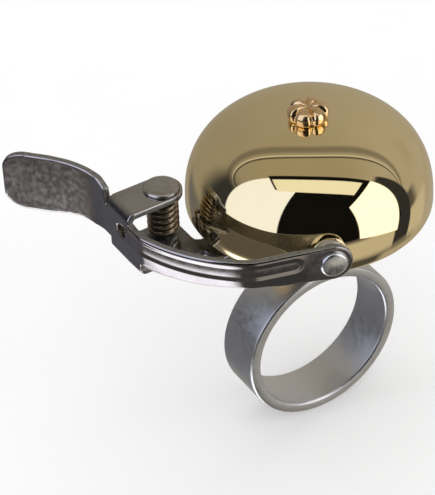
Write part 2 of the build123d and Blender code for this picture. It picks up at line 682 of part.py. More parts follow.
MAKERS = {
    "spacer_ring": make_spacer_ring,
    "centre_bolt": make_centre_bolt,
    "ring_standoff": make_ring_standoff,
    "base_bracket": make_base_bracket,
    "lock_washer": make_lock_washer,
    "bracket_nut": make_bracket_nut,
    "post_sleeve": make_post_sleeve,
    "seat_washer": make_seat_washer,
    "bell_dome": make_bell_dome,
    "dome_nut": make_dome_nut,
    "pivot_pin": make_pivot_pin,
    "pin_washer": make_pin_washer,
    "retaining_clip": make_retaining_clip,
    "pivot_spacer": make_pivot_spacer,
    "spring_sleeve": make_spring_sleeve,
    "torsion_spring": make_torsion_spring,
    "striker_lever": make_striker_lever,
    "hammer_washer": make_hammer_washer,
    "hammer_slug": make_hammer_slug,
    "hammer_rivet": make_hammer_rivet,
}

os.makedirs("parts", exist_ok=True)
for name, make in MAKERS.items():
    export_step(make(), f"parts/{name}.step")
    print(name)
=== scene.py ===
"""Looks of the bicycle bell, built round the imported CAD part.

Shapes are worked out in millimetres in the part's frame and scaled to metres when a
mesh is made. Sizes that the frame knows are read from the CAD nodes' boxes.
"""

import math

import bmesh
import bpy
import numpy as np
from mathutils import Matrix, Vector, geometry


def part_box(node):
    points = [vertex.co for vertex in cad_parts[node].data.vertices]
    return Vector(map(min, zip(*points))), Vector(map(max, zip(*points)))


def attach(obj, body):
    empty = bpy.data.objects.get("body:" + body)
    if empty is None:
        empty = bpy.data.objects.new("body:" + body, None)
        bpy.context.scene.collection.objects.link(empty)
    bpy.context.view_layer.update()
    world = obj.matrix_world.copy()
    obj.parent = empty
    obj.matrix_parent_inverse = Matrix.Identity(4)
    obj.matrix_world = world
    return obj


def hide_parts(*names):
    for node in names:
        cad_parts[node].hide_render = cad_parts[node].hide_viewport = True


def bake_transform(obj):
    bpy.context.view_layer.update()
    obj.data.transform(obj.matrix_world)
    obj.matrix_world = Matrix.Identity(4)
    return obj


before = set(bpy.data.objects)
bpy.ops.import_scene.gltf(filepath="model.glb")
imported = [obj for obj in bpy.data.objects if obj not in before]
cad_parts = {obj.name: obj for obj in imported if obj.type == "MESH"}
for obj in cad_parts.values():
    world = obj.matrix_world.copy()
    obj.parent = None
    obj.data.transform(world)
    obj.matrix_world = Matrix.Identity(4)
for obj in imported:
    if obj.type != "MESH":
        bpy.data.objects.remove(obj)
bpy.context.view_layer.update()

MM = 0.001

# ---- sizes the boxes of the CAD nodes don't give, in millimetres ---------
BOLT_HOLE_RADIUS = 2.15
HEAD_CLEARANCE = 0.08
DOME_WALL = 1.3
DOME_LIP_HEIGHT = 1.8
DOME_LIP_DRAW = 2.1
MOUTH_ROUNDING = 0.4
DOME_ROUNDNESS = 2.52
NUT_LOBES = 6
NUT_VALLEY_ANGLE = 9.25
NUT_VALLEY_WIDTH = 8.0
NUT_VALLEY_DEPTH = 0.13
NUT_TOP_CREASE = 0.5
NUT_TOP_DIP = 0.6
NUT_FOOT_IN = 0.8
NUT_FOOT_RISE = 1.2
NUT_SHOULDER = 0.45
NUT_BULGE = 0.25
RING_BORE_RADIUS = 14.4
RING_CHAMFER = 0.35
CUT_OVERRUN = 3.0
PIN_RADIUS = 1.25
PIN_HEAD_HEIGHT = 0.75
PIN_HEAD_RIM = 0.35
PIN_HEAD_FLATNESS = 5
PIN_ROUNDING = 0.16
PIN_FIT = 0.05
CLIP_GROOVE_RADIUS = 0.9
LEVER_SHEET = 1.3
EYE = Vector((-10.87, -23.98, 37.05))
EYE_HEADING = 163.9
EYE_RADIUS = 3.55
EYE_RUN = 12.5
ELBOW_RADIUS = 10.1
ELBOW_ANGLE = 22.4
ARM_RADIUS = 32.4
ARM_ANGLE = 33.6
NECK_START_Y = 10.0
NECK_RADIUS = 14.0
NECK_ANGLE = 42.0
UPPER_FOLD_RADIUS = 1.9
UPPER_EAR_RADIUS = 3.75
LOWER_FOLD_RADIUS = 1.4
LOWER_EAR_MIN_Y = -2.3
LOWER_EAR_SHOULDER = 5.0
LOWER_EAR_RADIUS = 2.9
TAB_CORNER_RADIUS = 3.4
ARM_TOP_Z = 40.45
ARM_LOW_EDGE = (
    (0, 33.5), (3.5, 33.95), (7.6, 33.98), (13, 34.75), (17.5, 34.88), (22, 34.45), (26.5, 34.0)
)
EAR_SLIT = 0.3
NECK_LOW_Z = 33.7
TAB_BOTTOM_Z = 33.4
TAB_JOIN_Y = 21.0
WEB_X = -37.35
ARM_CROWN = 0.2
GROOVE_Z = 38.2
GROOVE_HALF = 1.3
GROOVE_DEPTH = 0.16
GROOVE_WALL = 0.8
GROOVE_END_RUN = 7.1
SLOT_Y = 4.2
SLOT_Z = 37.7
SLOT_HALF_LENGTH = 1.1
SLOT_HALF_HEIGHT = 1.15
RIVET_HEIGHT = 0.9
RIVET_CROWN = 0.3
RIVET_RADIUS = 2.5
RIVET_SHANK = 1.2
RIVET_TAIL_SINK = 0.15
HAMMER_WASHER = 0.35
SLUG_RADIUS = 3.3
SLUG_THICKNESS = 1.55
BRACKET_SHEET = 1.5
LEG_HOLE_CLEARANCE = 0.18
PLATE_MAX_X = -22.45
PLATE_MIN_Y = 0.3
PLATE_CORNER_RADIUS = 1.6
STRAP_HALF_WIDTH = 3.45
JOGGLE_START_X = -19.6
JOGGLE_ANGLE = 50.0
JOGGLE_RADIUS = 1.6
WIRE_RADIUS = 0.57
COIL_RADIUS = 2.38
COIL_PITCH = 1.27
COIL_TURNS = 5
COIL_BOTTOM_Z = 33.82
LOW_LEG_REACH = 3.6
LEG_BEND_RADIUS = 0.9
LEG_SLOT_Y = 4.4
LEG_SLOT_Z = 37.3

# ---- angles of the picture -----------------------------------------------
VIEW_AZIMUTH = -30.69
VIEW_ELEVATION = 38.83
VIEW_ROLL = -2.40
VIEW_DISTANCE = 420.0
VIEW_TARGET = Vector((-13.01, 11.77, 17.88))
LENS = 161.36
SENSOR = 36.0
WHITE = (1.0, 1.0, 1.0, 1.0)
STUDIO_AZIMUTH = -33.75
FLOOR_GLOW = 0.17
FLOOR_GAP = 0.02
FLOOR_REACH = 4000.0
FLOOR_STEPS = 8


# ==== small helpers ========================================================
def node_box(name):
    """Lowest and highest corner of a CAD node in millimetres."""
    low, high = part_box(name)
    return low / MM, high / MM


def pivot():
    """Plan position of the lever's pivot."""
    low, high = node_box("pivot_pin")
    return Vector(((low.x + high.x) / 2, (low.y + high.y) / 2))


def polar(angle, length=1.0):
    """Plan vector of a given length along a compass angle in degrees."""
    turn = math.radians(angle)
    return Vector((length * math.cos(turn), length * math.sin(turn), 0.0))


def smooth_step(share):
    """Ease from 0 to 1."""
    share = min(max(share, 0.0), 1.0)
    return share * share * (3 - 2 * share)


def through(knots, x):
    """Eased height at x through (x, height) knots listed by rising x."""
    if x <= knots[0][0]:
        return knots[0][1]
    for (x0, h0), (x1, h1) in zip(knots, knots[1:]):
        if x <= x1:
            return h0 + (h1 - h0) * smooth_step((x - x0) / (x1 - x0))
    return knots[-1][1]


def softened(points, radius, steps=4, closed=True):
    """Round the corners of a polygon in any dimension."""
    points = [Vector(p) for p in points]
    count = len(points)
    result = []
    for index, corner in enumerate(points):
        if not closed and index in (0, count - 1):
            result.append(corner)
            continue
        before = points[index - 1] - corner
        after = points[(index + 1) % count] - corner
        cut_before = min(radius, before.length * 0.49)
        cut_after = min(radius, after.length * 0.49)
        start = corner + before.normalized() * cut_before
        end = corner + after.normalized() * cut_after
        for step in range(steps + 1):
            t = step / steps
            result.append(start * (1 - t) ** 2 + corner * 2 * t * (1 - t) + end * t * t)
    return result


def subdivided(points, spacing, closed=True):
    """Add points so that no stretch of the line is longer than spacing."""
    points = [Vector(p) for p in points]
    following = points[1:] + points[:1] if closed else points[1:]
    result = []
    for start, end in zip(points, following):
        pieces = max(1, math.ceil((end - start).length / spacing))
        for piece in range(pieces):
            result.append(start.lerp(end, piece / pieces))
    if not closed:
        result.append(points[-1])
    return result


def without_repeats(points, least=1e-4):
    """Drop points that sit on the one before them."""
    result = []
    for point in points:
        if not result or (point - result[-1]).length > least:
            result.append(point)
    if (result[0] - result[-1]).length < least:
        result.pop()
    return result


def new_piece(name, vertices, faces, material, sharp_angle=38.0):
    """Mesh object from millimetre vertices, smooth but for its sharp edges."""
    mesh = bpy.data.meshes.new(name)
    mesh.from_pydata([tuple(Vector(v) * MM) for v in vertices], [], faces)
    work = bmesh.new()
    work.from_mesh(mesh)
    bmesh.ops.recalc_face_normals(work, faces=work.faces)
    limit = math.radians(sharp_angle)
    for face in work.faces:
        face.smooth = True
    for edge in work.edges:
        edge.smooth = len(edge.link_faces) == 2 and edge.calc_face_angle(0.0) < limit
    work.to_mesh(mesh)
    work.free()
    mesh.materials.append(material)
    piece = bpy.data.objects.new(name, mesh)
    bpy.context.scene.collection.objects.link(piece)
    return piece


def stands_for(piece, body, node):
    """The piece rides on a body and is shown in place of a CAD node."""
    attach(piece, body)
    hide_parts(node)


def turned(profile, segments, place, swell=None):
    """Vertices and faces of a closed profile of (radius, height) turned about an axis.

    swell(angle, radius, height) may return a changed (radius, height).
    """
    vertices = []
    rows = []
    for radius, height in profile:
        if radius < 1e-6:
            vertices.append(place @ Vector((0, 0, height)))
            rows.append([len(vertices) - 1] * segments)
            continue
        row = []
        for index in range(segments):
            angle = 2 * math.pi * index / segments
            size, level = swell(angle, radius, height) if swell else (radius, height)
            vertices.append(place @ Vector((size * math.cos(angle), size * math.sin(angle), level)))
            row.append(len(vertices) - 1)
        rows.append(row)
    faces = []
    for low, high in zip(rows, rows[1:] + rows[:1]):
        if low[0] == low[1] and high[0] == high[1]:
            continue
        for index in range(segments):
            after = (index + 1) % segments
            ring = [low[index], low[after], high[after], high[index]]
            face = [v for k, v in enumerate(ring) if v != ring[k - 1]]
            faces.append(face)
    return vertices, faces


def turned_piece(name, profile, segments, place, material, swell=None, **settings):
    """Mesh object from a profile turned about an axis."""
    vertices, faces = turned(profile, segments, place, swell)
    return new_piece(name, vertices, faces, material, **settings)


def upright(x=0.0, y=0.0):
    """Placement with its axis along Z."""
    return Matrix.Translation((x, y, 0.0))


# ==== shader helpers =======================================================
def feed(tree, socket, value):
    """Link a socket to another, or set its value."""
    if isinstance(value, bpy.types.NodeSocket):
        tree.links.new(value, socket)
    else:
        socket.default_value = value


def add_node(tree, kind, inputs=None, **settings):
    """Node with its settings made and its inputs set or linked."""
    made = tree.nodes.new(kind)
    for key, value in settings.items():
        setattr(made, key, value)
    for key, value in (inputs or {}).items():
        feed(tree, made.inputs[key], value)
    return made


def empty_tree(owner):
    """Node tree of a material or world, cleared."""
    owner.use_nodes = True
    owner.node_tree.nodes.clear()
    return owner.node_tree


def finish_tree(tree, shader, kind="ShaderNodeOutputMaterial"):
    """Connect the last shader to a new output."""
    output = add_node(tree, kind)
    tree.links.new(shader.outputs[0], output.inputs["Surface"])


def compute(tree, operation, first, second=0.0):
    """Output of a math node."""
    return add_node(tree, "ShaderNodeMath", {0: first, 1: second}, operation=operation).outputs[0]


def ramped(tree, value, low, high, start, end):
    """Value eased from low..high to start..end, clamped."""
    inputs = {"Value": value, 1: low, 2: high, 3: start, 4: end}
    made = add_node(tree, "ShaderNodeMapRange", inputs, interpolation_type="SMOOTHSTEP")
    return made.outputs[0]


def mixed(tree, share, first, second):
    """Colour between two colours."""
    made = add_node(tree, "ShaderNodeMix", data_type="RGBA")
    for key, value in ((0, share), (6, first), (7, second)):
        feed(tree, made.inputs[key], value)
    return made.outputs[2]


def opaque(colour, gain=1.0):
    """Colour with its alpha, brightened by a gain as far as white."""
    return (*(min(1.0, gain * part) for part in colour), 1.0)


def worn_edge(tree, base, colour, strength, gain):
    """The base colour with a lighter tone along the outer edges."""
    edge = add_node(tree, "ShaderNodeNewGeometry").outputs["Pointiness"]
    worn = ramped(tree, edge, 0.52, 0.60, 0.0, strength)
    return mixed(tree, worn, base, opaque(colour, gain))


def noise(tree, coordinates, scale, detail=3.0, roughness=0.5):
    """Noise value about 0.5; scale is in features per millimetre."""
    inputs = {"Vector": coordinates, "Scale": scale, "Detail": detail, "Roughness": roughness}
    return add_node(tree, "ShaderNodeTexNoise", inputs).outputs[0]


def millimetres(tree, stretch=(1.0, 1.0, 1.0)):
    """Object coordinates in millimetres, stretched along the axes."""
    source = add_node(tree, "ShaderNodeTexCoord").outputs["Object"]
    scale = tuple(value / MM for value in stretch)
    made = add_node(tree, "ShaderNodeVectorMath", {0: source, 1: scale}, operation="MULTIPLY")
    return made.outputs[0]


# ==== materials ============================================================
def metal(name, colour, roughness, **look):
    """Metal with clouded tone, uneven polish, fine surface relief and worn edges.

    tint: second tone; clouds: features per mm of the tone; tone: how far it mixes;
    uneven: share the roughness swings; grain: stretch of the fine relief;
    relief: its features per mm; depth: its height in mm; dents: height of broad dents in mm;
    wear: how far edges lighten; flecks: how many dull specks show.
    """
    material = bpy.data.materials.new(name)
    tree = empty_tree(material)
    place = millimetres(tree)
    clouds = noise(tree, place, look.get("clouds", 0.35), 4.0, 0.6)
    share = ramped(tree, clouds, 0.35, 0.7, 0.0, look.get("tone", 0.6))
    base = mixed(tree, share, opaque(colour), opaque(look.get("tint", colour)))
    flecks = noise(tree, place, 6.0, 2.0, 0.6)
    fleck_share = ramped(tree, flecks, 0.66, 0.74, 0.0, look.get("flecks", 0.15))
    base = mixed(tree, fleck_share, base, opaque(colour, 0.35))
    base = worn_edge(tree, base, colour, look.get("wear", 0.5), 1.25)
    smears = noise(tree, place, 0.9, 5.0, 0.65)
    swing = look.get("uneven", 0.4)
    factor = ramped(tree, smears, 0.3, 0.7, 1.0 - swing, 1.0 + swing)
    polish = compute(tree, "MULTIPLY", factor, roughness)
    polish = compute(tree, "ADD", polish, compute(tree, "MULTIPLY", fleck_share, 0.3))
    fine_place = millimetres(tree, look.get("grain", (1.0, 1.0, 1.0)))
    fine = noise(tree, fine_place, look.get("relief", 3.0), 3.0, 0.55)
    broad = noise(tree, place, look.get("dent_scale", 0.6), 1.0, 0.4)
    fine_height = compute(tree, "MULTIPLY", fine, look.get("depth", 0.002))
    broad_height = compute(tree, "MULTIPLY", broad, look.get("dents", 0.004))
    height = compute(tree, "ADD", fine_height, broad_height)
    bump = add_node(tree, "ShaderNodeBump", {"Height": height, "Distance": MM, "Strength": 1.0})
    surface = {
        "Base Color": base,
        "Metallic": 1.0,
        "Roughness": polish,
        "Normal": bump.outputs[0],
    }
    finish_tree(tree, add_node(tree, "ShaderNodeBsdfPrincipled", surface))
    return material


BRASS = metal(
    "polished_brass", (0.93, 0.79, 0.50), 0.03, tint=(0.90, 0.75, 0.45), clouds=0.12, tone=0.4,
    depth=0.0002, relief=5.0, dents=0.0015, dent_scale=0.12, wear=0.3, flecks=0.0,
)
NUT_BRASS = metal(
    "nut_brass", (0.92, 0.68, 0.42), 0.17, tint=(0.74, 0.47, 0.22), clouds=0.8,
    depth=0.0006, dent_scale=0.9, wear=0.4, flecks=0.1,
)
LEVER_STEEL = metal(
    "plated_steel", (0.44, 0.43, 0.45), 0.13, tint=(0.34, 0.31, 0.33), clouds=0.12, tone=0.8,
    depth=0.0006, relief=4.0, dents=0.005, dent_scale=0.35, flecks=0.1,
)
LEVER_BACK = metal(
    "sheared_steel", (0.34, 0.34, 0.34), 0.42, tint=(0.20, 0.19, 0.19), clouds=1.6, tone=0.9,
    depth=0.006, dents=0.006, dent_scale=0.8, wear=0.4, flecks=0.4,
)
PIN_STEEL = metal(
    "pin_steel", (0.46, 0.44, 0.43), 0.22, tint=(0.36, 0.34, 0.33), clouds=0.6,
    depth=0.001,
)
# steel painted dark to stand in for the shade under the dome, used for the bracket and the ring
# standoff
PAINTED_SHADE_STEEL = metal(
    "bracket_steel", (0.20, 0.195, 0.20), 0.34, tint=(0.12, 0.115, 0.12), clouds=0.4,
    dents=0.006,
)
SPRING_STEEL = metal(
    "spring_wire", (0.34, 0.28, 0.21), 0.30, tint=(0.20, 0.16, 0.12), clouds=0.5, tone=0.5,
    uneven=0.2, depth=0.0008, relief=5.0, dents=0.002, wear=0.3, flecks=0.0,
)
RING_ALUMINIUM = metal(
    "satin_aluminium", (0.74, 0.75, 0.79), 0.36, tint=(0.69, 0.70, 0.73), clouds=0.2, tone=0.4,
    uneven=0.15, grain=(0.15, 4.0, 0.15), depth=0.0008, dents=0.001, wear=0.25, flecks=0.0,
)
RIVET_ALUMINIUM = metal(
    "rivet_aluminium", (0.82, 0.84, 0.88), 0.30, tint=(0.68, 0.70, 0.74), clouds=0.8,
    relief=2.5, depth=0.005, dents=0.02, dent_scale=0.8, wear=0.6, flecks=0.2,
)
SLUG_STEEL = metal(
    "slug_steel", (0.70, 0.68, 0.66), 0.09, tint=(0.50, 0.50, 0.51), clouds=0.5,
    grain=(1.0, 1.0, 3.0), depth=0.001, wear=0.6,
)
BOLT_STEEL = metal(
    "bolt_steel", (0.40, 0.40, 0.41), 0.28, tint=(0.26, 0.26, 0.27), clouds=0.7,
    depth=0.003, wear=0.6,
)
SLEEVE_STEEL = metal(
    "dark_steel", (0.22, 0.21, 0.20), 0.35, tint=(0.14, 0.13, 0.12), clouds=0.7,
    depth=0.003,
)


def fibre(name, colour, tint):
    """Pressed fibre with visible strands and scuffed edges."""
    material = bpy.data.materials.new(name)
    tree = empty_tree(material)
    strands = noise(tree, millimetres(tree, (6.0, 1.0, 2.0)), 1.5, 5.0, 0.7)
    share = ramped(tree, strands, 0.35, 0.65, 0.0, 1.0)
    base = mixed(tree, share, opaque(colour), opaque(tint))
    base = worn_edge(tree, base, colour, 0.5, 2.2)
    bump = add_node(tree, "ShaderNodeBump", {"Height": strands, "Distance": 0.02 * MM})
    rough = ramped(tree, strands, 0.2, 0.8, 0.6, 0.85)
    surface = {"Base Color": base, "Roughness": rough, "Normal": bump.outputs[0]}
    finish_tree(tree, add_node(tree, "ShaderNodeBsdfPrincipled", surface))
    return material


FIBRE = fibre("black_fibre", (0.03, 0.028, 0.026), (0.06, 0.055, 0.05))


# ==== turned pieces ========================================================
def build_dome():
    """Brass dome: superellipse crown, lip drawn in to a rounded mouth."""
    low, high = node_box("bell_dome")
    radius = (high.x - low.x) / 2
    top = high.z
    mouth_z = low.z + MOUTH_ROUNDING
    waist_z = mouth_z + DOME_LIP_HEIGHT
    mouth = radius - DOME_LIP_DRAW

    def crown(inset, least_radius, steps=46):
        power = 2 / DOME_ROUNDNESS
        points = []
        for step in range(steps + 1):
            turn = math.pi / 2 * step / steps
            size = (radius - inset) * max(math.cos(turn), 0.0) ** power
            height = waist_z + (top - waist_z - inset) * math.sin(turn) ** power
            if size > least_radius:
                points.append((size, height))
        return points + [(least_radius, top - inset)]

    def lip(inset, steps=8):
        points = []
        for step in range(steps):
            share = step / steps
            drawn = (1 - share) ** 2 * DOME_LIP_DRAW
            points.append((radius - inset - drawn, mouth_z + share * DOME_LIP_HEIGHT))
        return points

    rim = []
    for step in range(1, 6):
        turn = math.pi * step / 6
        across = mouth - DOME_WALL / 2 * (1 - math.cos(turn))
        rim.append((across, mouth_z - MOUTH_ROUNDING * math.sin(turn)))
    outside = lip(0) + crown(0, BOLT_HOLE_RADIUS)
    inside = lip(DOME_WALL) + crown(DOME_WALL, BOLT_HOLE_RADIUS)
    profile = outside + inside[::-1] + rim[::-1]
    dome = turned_piece("dome_shell", profile, 224, upright(), BRASS)
    stands_for(dome, "base", "bell_dome")


def build_nut():
    """Nut with bulging lobes parted by valleys, its foot drawn in."""
    low, high = node_box("dome_nut")
    radius = (high.x - low.x) / 2
    height = high.z - low.z
    shoulder = height * NUT_SHOULDER
    profile = [(0.0, low.z)]
    foot_steps = 9
    for step in range(foot_steps):
        turn = math.pi / 2 * step / foot_steps
        inset = NUT_FOOT_IN * (1 - math.sin(turn))
        profile.append((radius - inset, low.z + NUT_FOOT_RISE * (1 - math.cos(turn))))
    steps = 30
    for step in range(steps):
        turn = math.pi / 2 * step / steps
        size = radius * math.cos(turn) ** 0.6
        profile.append((size, low.z + shoulder + (height - shoulder) * math.sin(turn) ** 0.9))
    profile.append((0.0, high.z))
    spacing = 2 * math.pi / NUT_LOBES
    half_lobe = 180 / NUT_LOBES

    def lobes(angle, size, level):
        off = (angle - math.radians(NUT_VALLEY_ANGLE)) % spacing
        off = math.degrees(min(off, spacing - off))
        crease = math.exp(-((off / NUT_VALLEY_WIDTH) ** 2)) + NUT_BULGE * (off / half_lobe - 1) ** 2
        share = size / radius
        sunk = size * (1 - NUT_VALLEY_DEPTH * crease)
        upper = smooth_step((level - low.z) / height * 2 - 0.6)
        dip = NUT_TOP_CREASE * crease * smooth_step(share * 2.2)
        hollow = NUT_TOP_DIP * (1 - smooth_step(share * 1.7))
        return sunk, level - upper * (dip + hollow)

    nut = turned_piece("nut_cap", profile, 240, upright(), NUT_BRASS, swell=lobes, sharp_angle=75)
    stands_for(nut, "base", "dome_nut")


def build_ring():
    """Spacer ring with eased chamfers and the bolt's countersunk hole cut through."""
    low, high = node_box("spacer_ring")
    outer = (high.x - low.x) / 2
    inner = RING_BORE_RADIUS
    half = (high.y - low.y) / 2
    cut = RING_CHAMFER
    corners = [
        (inner, -half + cut), (inner + cut, -half), (outer - cut, -half), (outer, -half + cut),
        (outer, half - cut), (outer - cut, half), (inner + cut, half), (inner, half - cut),
    ]
    along_y = Matrix.Rotation(math.radians(90), 4, "X")
    ring = turned_piece("ring_body", softened(corners, 0.1, 2), 256, along_y, RING_ALUMINIUM)
    bolt_low, bolt_high = node_box("centre_bolt")
    head = (bolt_high.x - bolt_low.x) / 2 + HEAD_CLEARANCE
    hole = [
        (0.0, bolt_low.z - CUT_OVERRUN), (head, bolt_low.z - CUT_OVERRUN), (head, bolt_low.z),
        (BOLT_HOLE_RADIUS, bolt_low.z + head - BOLT_HOLE_RADIUS),
        (BOLT_HOLE_RADIUS, outer + CUT_OVERRUN), (0.0, outer + CUT_OVERRUN),
    ]
    cutter = turned_piece("ring_cutter", hole, 48, upright(), RING_ALUMINIUM)
    drill = ring.modifiers.new("bolt_hole", "BOOLEAN")
    drill.operation = "DIFFERENCE"
    drill.solver = "EXACT"
    drill.object = cutter
    apply_modifiers(ring)
    bpy.data.objects.remove(cutter)
    stands_for(ring, "base", "spacer_ring")


def apply_modifiers(piece):
    """Bake a piece's modifiers into its mesh."""
    bpy.context.view_layer.update()
    shape = piece.evaluated_get(bpy.context.evaluated_depsgraph_get())
    mesh = bpy.data.meshes.new_from_object(shape)
    piece.modifiers.clear()
    piece.data = mesh


def build_pin():
    """Pivot pin with a flat round-edged head and a clip groove near its foot."""
    low, high = node_box("pivot_pin")
    head = (high.x - low.x) / 2
    seat = high.z - PIN_HEAD_HEIGHT
    clip_low, clip_high = node_box("retaining_clip")
    outline = [
        (0.0, low.z), (PIN_RADIUS, low.z),
        (PIN_RADIUS, clip_low.z), (CLIP_GROOVE_RADIUS, clip_low.z),
        (CLIP_GROOVE_RADIUS, clip_high.z), (PIN_RADIUS, clip_high.z),
        (PIN_RADIUS, seat), (head, seat), (head, seat + PIN_HEAD_RIM),
    ]
    profile = softened(outline, PIN_ROUNDING, 3)[1:]
    profile = [Vector((0.0, low.z))] + [p for p in profile if p.x > 1e-6]
    rise = high.z - seat - PIN_HEAD_RIM
    steps = 12
    for step in range(1, steps + 1):
        share = 1 - step / steps
        profile.append(Vector((head * share, high.z - rise * share**PIN_HEAD_FLATNESS)))
    pin = turned_piece("pin_body", profile, 96, upright(*pivot()), PIN_STEEL)
    stands_for(pin, "base", "pivot_pin")


def build_pivot_spacer():
    """Collar between the bracket and the lower ear."""
    low, high = node_box("pivot_spacer")
    outer = (high.x - low.x) / 2
    inner = PIN_RADIUS + PIN_FIT
    corners = [(inner, low.z), (outer, low.z), (outer, high.z), (inner, high.z)]
    profile = softened(corners, 0.25, 4)
    collar = turned_piece("pivot_collar", profile, 96, upright(*pivot()), PIN_STEEL)
    stands_for(collar, "base", "pivot_spacer")


# ==== hammer ===============================================================
def at_eye():
    """Placement whose axis leaves the lever's eye towards the striking side."""
    outward = polar(EYE_HEADING + 90)
    turn = outward.to_track_quat("Z", "Y").to_matrix().to_4x4()
    return Matrix.Translation(EYE) @ turn


def build_hammer():
    """Rivet with a domed head, and the slug that strikes the dome."""
    slug_front = -LEVER_SHEET - HAMMER_WASHER
    slug_back = slug_front - SLUG_THICKNESS
    head = [(0.0, RIVET_HEIGHT)]
    steps = 10
    for step in range(1, steps + 1):
        share = step / steps
        head.append((RIVET_RADIUS * 0.90 * share, RIVET_HEIGHT - RIVET_CROWN * share**2))
    head += [
        (RIVET_RADIUS * 0.97, RIVET_HEIGHT - RIVET_CROWN - 0.15),
        (RIVET_RADIUS, RIVET_HEIGHT * 0.3),
        (RIVET_RADIUS * 0.985, 0.0),
    ]
    tail = slug_back + RIVET_TAIL_SINK
    shank = [(RIVET_SHANK, 0.0), (RIVET_SHANK, tail + 0.05), (0.0, tail)]
    rivet = turned_piece("rivet_body", head + shank, 96, at_eye(), RIVET_ALUMINIUM)
    stands_for(rivet, "lever", "hammer_rivet")
    corners = [
        (RIVET_SHANK, slug_front), (SLUG_RADIUS, slug_front),
        (SLUG_RADIUS, slug_back), (RIVET_SHANK, slug_back),
    ]
    slug = turned_piece("slug_body", softened(corners, 0.3, 4), 96, at_eye(), SLUG_STEEL)
    stands_for(slug, "lever", "hammer_slug")


# ==== sheet metal ==========================================================
def edge_distance(points, loops):
    """Distance of 2-D points from the nearest loop, and whether they lie inside."""
    nearest = np.full(len(points), 1e9)
    inside = np.zeros(len(points), bool)
    for loop in loops:
        corners = np.array([(p[0], p[1]) for p in loop])
        for start, end in zip(corners, np.roll(corners, -1, axis=0)):
            along = end - start
            length = max(float(along @ along), 1e-12)
            share = np.clip(((points - start) @ along) / length, 0, 1)
            gap = points - (start + share[:, None] * along)
            nearest = np.minimum(nearest, np.hypot(gap[:, 0], gap[:, 1]))
            if start[1] != end[1]:
                crosses = (start[1] > points[:, 1]) != (end[1] > points[:, 1])
                reach = start[0] + (points[:, 1] - start[1]) / along[1] * along[0]
                inside ^= crosses & (points[:, 0] < reach)
    return nearest, inside


def sheet(name, loops, spacing, thickness, rounding, place, material, back):
    """Piece of sheet cut to loops in a flat (run, height) plane, then bent by place.

    place(run, height, depth) gives the point that lies depth below the outer face.
    The first loop is the outline, the rest are holes. Edges are rounded over. The back
    and the cut edges get a material of their own.
    """
    loops = [without_repeats(subdivided(loop, spacing)) for loop in loops]
    flat = []
    borders = []
    for loop in loops:
        first = len(flat)
        flat += [(p[0], p[1]) for p in loop]
        count = len(loop)
        borders += [(first + k, first + (k + 1) % count) for k in range(count)]
    insets = (0.06 * rounding, 0.3 * rounding, rounding)
    extra = []
    for inset in insets:
        for loop in loops:
            for before, after in zip(loop, loop[1:] + loop[:1]):
                middle = (before + after) / 2
                side = Vector((before.y - after.y, after.x - before.x)).normalized() * inset
                extra += [(middle + side)[:], (middle - side)[:]]
    extra = np.array(extra)
    near, inside = edge_distance(extra, loops)
    levels = np.repeat(insets, len(extra) // len(insets))
    extra = extra[inside & (near > levels * 0.9)]
    low = np.array(flat).min(axis=0)
    high = np.array(flat).max(axis=0)
    runs = np.arange(low[0], high[0], spacing)
    heights = np.arange(low[1], high[1], spacing * 0.6)
    grid = np.array([(r, h) for r in runs for h in heights])
    near, inside = edge_distance(grid, loops)
    grid = grid[inside & (near > rounding * 1.5)]
    every = [Vector(p) for p in flat] + [Vector(p) for p in extra] + [Vector(p) for p in grid]
    found = geometry.delaunay_2d_cdt(every, borders, [], 0, 1e-6)
    points = np.array([tuple(p) for p in found[0]])
    triangles = np.array([t for t in found[2] if len(t) == 3])
    _, inside = edge_distance(points[triangles].mean(axis=1), loops)
    triangles = triangles[inside]
    distance, _ = edge_distance(points, loops)
    slack = np.clip(rounding - distance, 0, rounding)
    drop = rounding - np.sqrt(rounding**2 - slack**2)
    vertices = [place(p[0], p[1], d) for p, d in zip(points, drop)]
    vertices += [place(p[0], p[1], thickness - d) for p, d in zip(points, drop)]
    count = len(points)
    faces = [tuple(t) for t in triangles.tolist()]
    faces += [(c + count, b + count, a + count) for a, b, c in triangles.tolist()]
    sides = {}
    for a, b, c in triangles.tolist():
        for edge in ((a, b), (b, c), (c, a)):
            sides[frozenset(edge)] = None if frozenset(edge) in sides else edge
    for edge in sides.values():
        if edge:
            a, b = edge
            faces.append((b, a, a + count, b + count))
    piece = new_piece(name, vertices, faces, material, sharp_angle=80)
    piece.data.materials.append(back)
    for face in piece.data.polygons:
        face.material_index = int(face.index >= len(triangles))
    return piece


class BendPath:
    """Line of straight runs and bends, followed by distance from its start.

    A move is (length, 0) for a straight run or (radius, angle) for a bend,
    where a positive angle turns left.
    """

    def __init__(self, start, heading, moves):
        self.legs = []
        run = 0.0
        point = Vector((start[0], start[1], 0.0))
        for size, angle in moves:
            length = size if angle == 0 else size * abs(math.radians(angle))
            self.legs.append((run, point, heading, size, angle))
            point, heading = self.along(self.legs[-1], length)
            run += length
        self.length = run

    @staticmethod
    def along(leg, distance):
        """Point and heading some distance into a leg."""
        _, point, heading, size, angle = leg
        if angle == 0:
            return point + polar(heading, distance), heading
        side = math.copysign(90, angle)
        turned_by = math.copysign(math.degrees(distance / size), angle)
        centre = point + polar(heading + side, size)
        return centre + polar(heading + turned_by - side, size), heading + turned_by

    def at(self, run):
        """Point and heading at a run from the start; ends carry on straight."""
        chosen = self.legs[0]
        for leg in self.legs:
            if leg[0] <= run:
                chosen = leg
        return self.along(chosen, run - chosen[0])

    def run_to(self, axis, value):
        """Run at which a coordinate that keeps rising along the line reaches a value."""
        low, high = -10.0, self.length + 10.0
        for _ in range(50):
            middle = (low + high) / 2
            if self.at(middle)[0][axis] < value:
                low = middle
            else:
                high = middle
        return low


